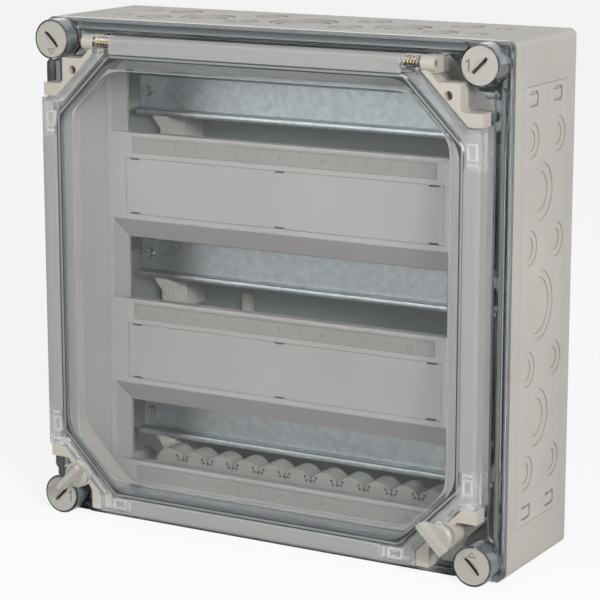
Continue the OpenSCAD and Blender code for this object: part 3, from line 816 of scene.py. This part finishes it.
def to_front(x: float, d: float, z: float) -> Matrix:
    """Returns the frame of a face that looks to the front, at x, z and the distance d from the back."""
    return Matrix.Translation((x * MM, -d * MM, z * MM)) @ Matrix.Rotation(math.radians(90), 4, "X")


def disc(x: float, z: float, radius: float, corners: int = 16) -> list[Pair]:
    """Returns the outline of a disc, from its right side round to the left, in millimetres."""
    angles = [math.tau * i / corners for i in range(corners)]
    return [(x + radius * math.cos(a), z + radius * math.sin(a)) for a in angles]


def block(x0: float, x1: float, z0: float, z1: float) -> list[Pair]:
    """Returns the outline of a rectangle between two places across and two up."""
    return [(x0, z0), (x1, z0), (x1, z1), (x0, z1)]


def lettering(text: str, height: float, depth: float, place: Matrix, bm: BMesh) -> None:
    """Adds flat raised figures, centred on a place, to a bmesh.

    Args:
        text: The figures.
        height: Height of the font, in millimetres.
        depth: Height of the relief, in millimetres.
        place: Frame of the face.
        bm: The bmesh.
    """
    curve = bpy.data.curves.new("figures", "FONT")
    curve.body = text
    curve.size = height * MM
    curve.extrude = depth * MM / 2
    curve.align_x = "CENTER"
    curve.align_y = "CENTER"
    curve.resolution_u = 3
    made = put("figures", curve)
    mesh = plain_mesh(made)
    mesh.transform(place)
    bm.from_mesh(mesh)
    bpy.data.objects.remove(made)
    bpy.data.curves.remove(curve)
    bpy.data.meshes.remove(mesh)


class NodeTree(Graph):
    """A geometry node group under construction."""

    KINDS = {float: "NodeSocketFloat", int: "NodeSocketInt", Object: "NodeSocketObject"}

    def __init__(self, name: str, values: dict[str, object]) -> None:
        """Starts a group with named inputs.

        Args:
            name: Name of the group.
            values: Value of each input after the geometry.
        """
        super().__init__(bpy.data.node_groups.new(name, "GeometryNodeTree"))
        face = self.tree.interface
        for way in ("INPUT", "OUTPUT"):
            face.new_socket("Geometry", in_out=way, socket_type="NodeSocketGeometry")
        for label, value in values.items():
            face.new_socket(label, in_out="INPUT", socket_type=self.KINDS[type(value)])
        self.values = values
        self.given = self.node("NodeGroupInput").outputs

    def shape(self, label: str) -> Socket:
        """Returns the geometry of the object that is given under a label."""
        return self.node("GeometryNodeObjectInfo", Object=self.given[label]).outputs["Geometry"]

    def turned(self, angle: Socket, axis: str) -> Socket:
        """Returns a rotation by an angle in radians around a named axis."""
        angles = self.node("ShaderNodeCombineXYZ", **{axis: angle})
        return self.node("FunctionNodeEulerToRotation", angles.outputs[0]).outputs[0]

    def finish(self, shape: Socket, material: Material, turn: Socket | None = None) -> None:
        """Sets a shape on each point, and ends the group in Realize Instances and Set Material.

        Args:
            shape: Geometry of the shape.
            material: The finish of the result.
            turn: Rotation of each copy.
        """
        way = {} if turn is None else {"Rotation": turn}
        spread = self.node("GeometryNodeInstanceOnPoints", self.given["Geometry"], Instance=shape, **way)
        real = self.node("GeometryNodeRealizeInstances", spread.outputs[0])
        paint = self.node("GeometryNodeSetMaterial", real.outputs[0], Material=material)
        self.node("NodeGroupOutput", paint.outputs[0])

    def grow(self, seed: Mesh) -> Mesh:
        """Runs the group on a mesh and removes the objects that it was given.

        Args:
            seed: The mesh that the group starts from.

        Returns:
            A plain mesh with the result.
        """
        holder = put("holder", seed)
        modifier = holder.modifiers.new("nodes", "NODES")
        modifier.node_group = self.tree
        for item in self.tree.interface.items_tree:
            if item.in_out == "INPUT" and item.name in self.values:
                modifier[item.identifier] = self.values[item.name]
        made = plain_mesh(holder)
        holder.modifiers.clear()
        for used in (holder, *self.values.values()):
            if isinstance(used, Object):
                bpy.data.objects.remove(used)
        return made


def points(places: Iterable[Sequence[float]]) -> Mesh:
    """Makes a mesh of loose points.

    Args:
        places: The points in the part's frame, in millimetres.

    Returns:
        The mesh.
    """
    mesh = bpy.data.meshes.new("points")
    mesh.from_pydata([tuple(v * MM for v in place) for place in places], [], [])
    return mesh


def scatter(name: str, prisms: Sequence[Prism], places: Iterable[Sequence[float]], material: Material,
            body: Body, turns: Sequence[float] = ()) -> None:
    """Makes a piece of many copies of a small relief, which a node group sets on points.

    Args:
        name: Name of the piece.
        prisms: Outline, lower end and upper end of each prism of the relief, in millimetres.
        places: Points in the part's frame, in millimetres.
        material: The finish.
        body: The body that carries the piece.
        turns: Angle of each copy around the depth axis in degrees, where they are turned.
    """
    bm = bmesh.new()
    for outline, low, high in prisms:
        prism(bm, outline, low, high, to_front(0, 0, 0))
    seeds = points(places)
    if turns:
        angles = seeds.attributes.new("turn", "FLOAT", "POINT")
        angles.data.foreach_set("value", [math.radians(turn) for turn in turns])
    tree = NodeTree(name, {"Relief": put(name, mesh_from(name, bm))})
    angle = tree.node("GeometryNodeInputNamedAttribute", data_type="FLOAT", Name="turn")
    turn = tree.turned(next(out for out in angle.outputs if out.enabled), "Y")
    tree.finish(tree.shape("Relief"), material, turn)
    piece(name, tree.grow(seeds), material, body)


@dataclass
class Assembly:
    """Pieces that are dressed and completed together."""

    looks: Looks

    def dress(self) -> None:
        """Gives the CAD nodes their finishes."""

    def build(self) -> None:
        """Adds the pieces that only the looks have."""


@dataclass
class Shell(Assembly):
    """Moulded base with its rim seal and the snap-in wall plates."""

    def dress(self) -> None:
        """Gives the base, the plates and the seal their finishes."""
        dress(self.looks.base, "base_box")
        dress(self.looks.plate, *(f"knockout_plate_{side}" for side in SIDES))
        dress(self.looks.seal, "base_gasket")


@dataclass
class Lid(Assembly):
    """Clear lid with its four quarter-turn locks."""

    lock_at: float = 172.5
    lock_front: float = 125.0
    inlay: Pair = (-0.02, 0.12)
    triangle: Outline = ((-3.4, 2.0), (3.4, 2.0), (0.0, -2.2))
    triangle_in: float = 8.6
    triangle_hole: float = 0.72
    figure: Outline = ((0.2, -4.2), (1.1, -4.2), (1.1, 4.2), (0.4, 4.2), (-1.8, 2.4), (-1.4, 1.6),
                       (0.2, 2.9))
    figure_in: float = 8.4
    marks: tuple[tuple[Body, int, int, Mark], ...] = (
        (Body.LOCK_TL, -1, 1, Mark.TRIANGLE),
        (Body.LOCK_TR, 1, 1, Mark.ONE),
        (Body.LOCK_BL, -1, -1, Mark.ONE),
        (Body.LOCK_BR, 1, -1, Mark.TRIANGLE),
    )

    def dress(self) -> None:
        """Gives the lid, its seals and the locks their finishes."""
        dress(self.looks.lid, "lid")
        dress(self.looks.lined, "window_gasket")
        dress(self.looks.ring, "lock_seals")
        dress(self.looks.lock, *(f"lid_lock_{corner}" for corner in CORNERS))

    def frame_of_triangle(self, up: int) -> list[Outline]:
        """Returns the three bars of a hollow triangle, the other way up on the lower locks."""
        tips = [(Vector((x, z * up)), Vector((x, z * up)) * self.triangle_hole) for x, z in self.triangle]
        return [[tuple(tip) for tip in (near[0], far[0], far[1], near[1])]
                for near, far in zip(tips, tips[1:] + tips[:1])]

    def build(self) -> None:
        """Inlays the mark of each lock head."""
        for body, sx, sz, mark in self.marks:
            x, z = sx * self.lock_at, sz * self.lock_at
            if mark is Mark.TRIANGLE:
                place = to_front(x, self.lock_front, z - sz * self.triangle_in)
                outlines = self.frame_of_triangle(sz)
            else:
                place = to_front(x - sx * self.figure_in, self.lock_front, z)
                outlines = [self.figure]
            bm = bmesh.new()
            for outline in outlines:
                prism(bm, outline, *self.inlay, place)
            piece(f"lock_mark_{body.value[-2:]}", mesh_from("lock_mark", bm), self.looks.ink, body)


@dataclass
class Window(Assembly):
    """Hinged clear window with its edge strips, pins and springs."""

    hinge_d: float = 126.0
    hinge_z: float = 172.5
    spring_x: float = 118.6
    spring_len: float = 10.8
    coil_r: float = 2.7
    wire_r: float = 0.55
    turns: float = 4.5
    coil_steps: int = 20
    wire_sides: int = 8
    cell_at: float = 115.5
    cell_inset: float = 170.6
    cell_half: Pair = (5.6, 3.5)
    cell_wall: Pair = (1.0, 0.9)
    cell_end: Pair = (-9.6, -8.2)
    cell_depths: Pair = (-3.2, -0.05)
    pane_back: float = 129.0

    def dress(self) -> None:
        """Gives the pane, the strips and the pins their finishes."""
        dress(self.looks.window, "window_flap")
        dress(self.looks.strip, *(f"edge_strip_{side}" for side in SIDES))
        dress(self.looks.pin, "hinge_pins")

    def coils(self) -> None:
        """Winds a wire coil around each hinge pin, in the place of the plain springs."""
        sizes = {"Turns": self.turns, "Coil Radius": self.coil_r * MM, "Wire Radius": self.wire_r * MM,
                 "Length": self.spring_len * MM}
        tree = NodeTree("wire_coil", sizes)
        given = tree.given
        spiral = tree.node("GeometryNodeCurveSpiral", Resolution=self.coil_steps, Rotations=given["Turns"],
                           Start_Radius=given["Coil Radius"], End_Radius=given["Coil Radius"],
                           Height=given["Length"]).outputs[0]
        wire = tree.node("GeometryNodeCurvePrimitiveCircle", Resolution=self.wire_sides,
                         Radius=given["Wire Radius"]).outputs[0]
        sweep = tree.node("GeometryNodeCurveToMesh", Curve=spiral, Profile_Curve=wire, Fill_Caps=True)
        lie = tree.node("GeometryNodeTransform", sweep.outputs[0], Rotation=(0, math.radians(90), 0))
        tree.finish(lie.outputs[0], self.looks.brass)
        starts = (self.spring_x, -self.spring_x - self.spring_len)
        mesh = tree.grow(points((x, -self.hinge_d, self.hinge_z) for x in starts))
        mesh.shade_smooth()
        piece("hinge_coils", mesh, self.looks.brass, Body.WINDOW, ["hinge_springs"])

    def cells(self) -> None:
        """Sets the open cells, with a closing bar each, at the ends of the side and lower bars, in the pale
        strip finish as a painted highlight.
        """
        w, h = self.cell_half
        inner_w, inner_h = w - self.cell_wall[0], h - self.cell_wall[1]
        bars = [block(-w, w, inner_h, h), block(-w, w, -h, -inner_h), block(-w, -inner_w, -inner_h, inner_h),
                block(inner_w, w, -inner_h, inner_h), block(*self.cell_end, -h, h)]
        a, b, y = self.cell_at, self.cell_inset, -self.pane_back
        spots = {(a, y, -b): 0.0, (-a, y, -b): 180.0, (b, y, -a): 90.0, (b, y, a): -90.0,
                 (-b, y, -a): 90.0, (-b, y, a): -90.0}
        # The pale strip finish paints the white highlights of the cells' clear ribs.
        scatter("rim_cells", [(bar, *self.cell_depths) for bar in bars], spots, self.looks.strip,
                Body.WINDOW, list(spots.values()))

    def build(self) -> None:
        """Sets the rim cells and winds the springs."""
        self.cells()
        self.coils()


@dataclass
class Screws:
    """Pan head screws with a cross recess, set out on points."""

    looks: Looks
    name: str
    node: str
    places: Sequence[Sequence[float]]
    head_r: float
    head_h: float
    shank_r: float
    shank_len: float
    dome: Outline = ((0.0, 1.0), (0.55, 0.97), (0.82, 0.8), (0.96, 0.45), (1.0, 0.15), (1.0, 0.0))
    arm: Pair = (0.62, 0.13)
    recess: Pair = (0.35, 1.3)
    recess_step: float = 0.009
    facets: int = 24
    random_seed: int = 5

    def head(self) -> Object:
        """Turns one screw without its recess.

        Returns:
            The screw, its head up and the seat at the origin.
        """
        profile = [(self.head_r * x, self.head_h * z) for x, z in self.dome]
        profile += [(self.shank_r, 0.0), (self.shank_r, -self.shank_len), (0.0, -self.shank_len)]
        bm = bmesh.new()
        ring = [bm.verts.new((x * MM, 0, z * MM)) for x, z in profile]
        edges = [bm.edges.new(pair) for pair in zip(ring, ring[1:])]
        bmesh.ops.spin(bm, geom=ring + edges, cent=(0, 0, 0), axis=(0, 0, 1), angle=math.tau,
                       steps=self.facets, use_duplicate=False)
        bmesh.ops.remove_doubles(bm, verts=bm.verts, dist=1e-6)
        return put("screw", mesh_from("screw", bm))

    def screw(self) -> Object:
        """Cuts the cross recess into a screw.

        Returns:
            The screw.
        """
        head = self.head()
        arm, half = (self.head_r * share for share in self.arm)
        low, high = (self.head_h * share for share in self.recess)
        bm = bmesh.new()
        for turn, lift in ((0, 0.0), (90, self.recess_step)):
            across = Matrix.Rotation(math.radians(turn), 4, "Z")
            prism(bm, block(-arm, arm, -half, half), low + lift, high, across)
        cross = put("cross", mesh_from("cross", bm))
        carve = head.modifiers.new("recess", "BOOLEAN")
        carve.object = cross
        carve.use_self = True
        mesh = plain_mesh(head)
        for used in (head, cross):
            bpy.data.objects.remove(used)
        return put("screw", mesh)

    def build(self) -> None:
        """Sets a screw on each point, each turned its own way, in the place of the plain ones."""
        tree = NodeTree("screw_set", {"Screw": self.screw(), "Seed": self.random_seed})
        chance = tree.node("FunctionNodeRandomValue", data_type="FLOAT", Seed=tree.given["Seed"])
        low, high = [s for s in chance.inputs if s.type == "VALUE" and s.name in ("Min", "Max")][:2]
        low.default_value = 0.0
        high.default_value = math.tau
        angle = next(s for s in chance.outputs if s.type == "VALUE" and s.enabled)
        face = tree.node("FunctionNodeEulerToRotation", (math.radians(90), 0, 0))
        both = tree.node("FunctionNodeRotateRotation", face.outputs[0], tree.turned(angle, "Z"),
                         rotation_space="LOCAL")
        tree.finish(tree.shape("Screw"), self.looks.steel, both.outputs[0])
        mesh = tree.grow(points(self.places))
        piece(self.name, mesh, self.looks.steel, Body.ENCLOSURE, [self.node])


@dataclass
class Corners(Assembly):
    """Brackets outside the cut corners of the window, their screws and the thumb latches."""

    cut: float = 148.25
    out: float = 5.0
    seat: float = 120.0

    def dress(self) -> None:
        """Gives the brackets and the latches their finishes."""
        dress(self.looks.bracket, *(f"corner_bracket_{corner}" for corner in CORNERS))
        dress(self.looks.latch, "latch_left", "latch_right")

    def build(self) -> None:
        """Sets the bracket screws."""
        top = self.cut + self.out / math.sqrt(2)
        places = [(s * top, -self.seat, top) for s in (-1, 1)]
        Screws(self.looks, "bracket_screw_set", "bracket_screws", places, head_r=3.0, head_h=2.6,
               shank_r=1.5, shank_len=15.8).build()


@dataclass
class Inside(Assembly):
    """Front panel, covers, marking strips, rails and what carries them."""

    rows: tuple[float, ...] = (127.5, 2.5, -122.5)
    shift: float = 3.0
    pitch: float = 17.5
    modules: int = 15
    panel_front: float = 95.0
    marks_drop: float = 32.75
    figure: float = 4.6
    figure_depth: float = 0.5
    rail_screw_x: float = 145.0
    rail_seat: float = 38.5
    notch_half: Pair = (4.0, 0.75)
    notch_depths: Pair = (0.05, 0.25)
    notch_x: float = 123.0
    notch_z: tuple[float, ...] = (84.7, 44.3, -40.3, -80.7)
    notch_floor: float = 93.4
    joints: int = 10
    joint_pitch: float = 22.5
    joint_z: float = -150.55
    joint_front: float = 62.0
    hole: Triple = (0.0, 0.6, 2.1)
    hole_depths: Pair = (0.05, 0.3)
    pips: Outline = ((-4.6, 3.0), (4.6, 3.0), (-3.4, 0.4), (3.4, 0.4))
    pip_r: float = 1.1
    pip_corners: int = 8
    pip_depths: Pair = (2.02, 2.2)
    hook: Outline = ((-137.3, -17.6), (-125.0, -17.6), (-122.2, -18.8), (-120.6, -20.9), (-120.0, -23.5),
                     (-120.0, -41.0), (-130.2, -41.0), (-130.2, -26.6))
    hook_depths: Pair = (30.0, 45.0)
    foot: tuple[float, float, float, float] = (-126.0, -117.4, -41.0, -17.6)
    foot_depths: Pair = (4.0, 30.0)
    ribs: tuple[float, ...] = (-128.4, -126.2, -124.0)
    rib_w: float = 0.7
    rib_ends: Triple = (-41.0, -23.0, -22.0)
    rib_depths: Pair = (44.9, 45.7)
    stud_at: Pair = (-76.5, -31.0)
    stud_r: float = 4.0
    stud_drop: float = 16.0
    stud_corners: int = 24
    stud_depths: Pair = (3.9, 9.0)
    eye_z: float = -0.4
    eye_radii: Pair = (2.9, 1.9)
    eye_depths: Pair = (8.9, 10.4)
    eye_corners: int = 20

    def dress(self) -> None:
        """Gives every piece behind the window its finish."""
        dress(self.looks.panel, "front_panel")
        dress(self.looks.cover, "row_cover_upper", "row_cover_lower")
        dress(self.looks.marking, "marking_strip_1", "marking_strip_2", "marking_strip_3")
        dress(self.looks.zinc, "din_rail_1", "din_rail_2", "din_rail_3")
        dress(self.looks.upright, "upright_left", "upright_right")
        dress(self.looks.carrier, "terminal_carrier")

    def numbers(self) -> None:
        """Raises the module numbers on the marking strips."""
        for row, z in enumerate(self.rows, 1):
            bm = bmesh.new()
            for number in range(1, self.modules + 1):
                x = self.shift + (number - (self.modules + 1) / 2) * self.pitch
                place = to_front(x, self.panel_front, z - self.marks_drop)
                lettering(str(number), self.figure, self.figure_depth, place, bm)
            mesh = mesh_from("numbers", bm)
            piece(f"module_numbers_{row}", mesh, self.looks.print, Body.ENCLOSURE)

    def notches(self) -> None:
        """Lays a dark plate of painted shade in the notches of the covers."""
        w, h = self.notch_half
        places = [(self.shift + s * self.notch_x, -self.notch_floor, z)
                  for s in (-1, 0, 1) for z in self.notch_z]
        scatter("notch_floors", [(block(-w, w, -h, h), *self.notch_depths)], places, self.looks.ring,
                Body.ENCLOSURE)

    def hooks(self) -> None:
        """Sets a ribbed hook on its foot under both ends of each rail."""
        low, right, left = self.rib_ends
        prisms = [(self.hook, *self.hook_depths), (block(*self.foot), *self.foot_depths)]
        for x in self.ribs:
            far = x + self.rib_w
            prisms.append((((x, low), (far, low), (far, right), (x, left)), *self.rib_depths))
        prisms += [([(-x, z) for x, z in outline], *depths) for outline, *depths in prisms]
        places = [(0, 0, z) for z in self.rows]
        scatter("rail_hooks", prisms, places, self.looks.hook, Body.ENCLOSURE)

    def stud(self) -> None:
        """Stands the pale boss with its eye on the floor behind the middle slot."""
        place = to_front(self.stud_at[0], 0, self.stud_at[1])
        r, low = self.stud_r, -self.stud_drop
        bm = bmesh.new()
        arch = disc(0, 0, r, self.stud_corners)[:self.stud_corners // 2 + 1]
        prism(bm, arch + [(-r, low), (r, low)], *self.stud_depths, place)
        outer, inner = (disc(0, self.eye_z, radius, self.eye_corners) for radius in self.eye_radii)
        for i in range(self.eye_corners):
            j = (i + 1) % self.eye_corners
            prism(bm, [outer[i], outer[j], inner[j], inner[i]], *self.eye_depths, place)
        piece("floor_stud", mesh_from("floor_stud", bm), self.looks.hook, Body.ENCLOSURE)

    def carrier_marks(self) -> None:
        """Paints each cross-shaped hole between the lumps of the carrier as a dark disc with dark pips
        around it, as painted shade.
        """
        prisms = [(disc(*self.hole), *self.hole_depths)]
        prisms += [(disc(x, z, self.pip_r, self.pip_corners), *self.pip_depths) for x, z in self.pips]
        places = [((i - (self.joints - 1) / 2) * self.joint_pitch, -self.joint_front, self.joint_z)
                  for i in range(self.joints)]
        scatter("carrier_marks", prisms, places, self.looks.ring, Body.ENCLOSURE)

    def build(self) -> None:
        """Adds the numbers, the small details and the rail screws."""
        self.numbers()
        self.notches()
        self.hooks()
        self.stud()
        self.carrier_marks()
        places = [(s * self.rail_screw_x, -self.rail_seat, z) for z in self.rows for s in (-1, 1)]
        Screws(self.looks, "rail_screw_set", "rail_screws", places, head_r=4.2, head_h=3.0,
               shank_r=2.0, shank_len=8.5).build()


@dataclass(frozen=True)
class Lamp:
    """Soft square lamp that looks at the object."""

    name: str
    place: Triple
    size: float
    watts: float

    def build(self) -> None:
        """Hangs the lamp."""
        data = bpy.data.lights.new(self.name, "AREA")
        data.size = self.size
        data.energy = self.watts
        made = put(self.name, data)
        made.location = self.place
        made.rotation_euler = Vector(self.place).to_track_quat("Z", "Y").to_euler()


@dataclass
class Studio:
    """Camera, lamps, floor and surroundings."""

    azimuth: float = 29.863
    elevation: float = 12.16
    distance: float = 1.6617
    lens: float = 139.83
    sensor: float = 36.0
    sight: float = 50.0
    target: Triple = (0.02231, -0.1, -0.00549)
    floor_z: float = -0.1875
    floor_half: float = 14.0
    floor_grey: float = 0.86
    floor_rough: float = 0.5
    floor_glow: float = 0.85
    sky_light: float = 0.28
    lamps: tuple[Lamp, ...] = (
        Lamp("key", (-1.1, -2.15, 0.95), 1.4, 15.0),
        Lamp("fill", (1.7, -1.45, 0.82), 0.5, 33.5),
    )

    def camera(self) -> None:
        """Places the camera at the portrait's angle."""
        data = bpy.data.cameras.new("camera")
        data.lens = self.lens
        data.sensor_width = self.sensor
        data.clip_end = self.sight
        made = put("camera", data)
        az, el = math.radians(self.azimuth), math.radians(self.elevation)
        back = Vector((math.sin(az) * math.cos(el), -math.cos(az) * math.cos(el), math.sin(el)))
        made.location = Vector(self.target) + back * self.distance
        made.rotation_euler = back.to_track_quat("Z", "Y").to_euler()
        bpy.context.scene.camera = made

    def surroundings(self) -> None:
        """White surroundings for camera, mirrors and clear pieces, softer as a light."""
        world = bpy.data.worlds.new("surroundings")
        world.use_nodes = True
        sky = Graph(world.node_tree, "ShaderNode")
        sky.tree.nodes.clear()
        path = sky.node("LightPath").outputs
        seen = sky.math("MAXIMUM", path["Is Camera Ray"], path["Is Glossy Ray"])
        seen = sky.math("MAXIMUM", seen, path["Is Transmission Ray"])
        glow = sky.node("Background", (1, 1, 1, 1), sky.span(seen, self.sky_light, 1.0, 0.0, 1.0))
        sky.node("OutputWorld", glow.outputs[0])
        bpy.context.scene.world = world

    def floor(self) -> None:
        """Lays a pale floor that keeps a soft shadow."""
        s = Shader("pale_floor")
        grey = self.floor_grey
        matt = s.node("BsdfDiffuse", Roughness=self.floor_rough, Color=(grey, grey, grey, 1))
        seen = s.math("MULTIPLY", s.node("LightPath").outputs["Is Camera Ray"], self.floor_glow)
        half = self.floor_half
        mesh = bpy.data.meshes.new("floor")
        mesh.from_pydata([(x, y, self.floor_z) for x, y in block(-half, half, -half, half)], [], [range(4)])
        mesh.materials.append(s.close(s.mix(seen, matt, s.node("Emission", Strength=1.0))))
        made = put("floor", mesh)

    def build(self) -> None:
        """Sets up the whole studio."""
        self.camera()
        self.surroundings()
        self.floor()
        for lamp in self.lamps:
            lamp.build()
        bpy.context.scene.view_settings.view_transform = "Standard"


def main() -> None:
    """Builds and dresses the enclosure in order."""
    logging.basicConfig(level=logging.INFO, format="%(message)s")
    Studio().build()
    looks = Looks()
    for part in (Shell(looks), Lid(looks), Window(looks), Corners(looks), Inside(looks)):
        part.dress()
        part.build()


if __name__ == "__main__":
    main()
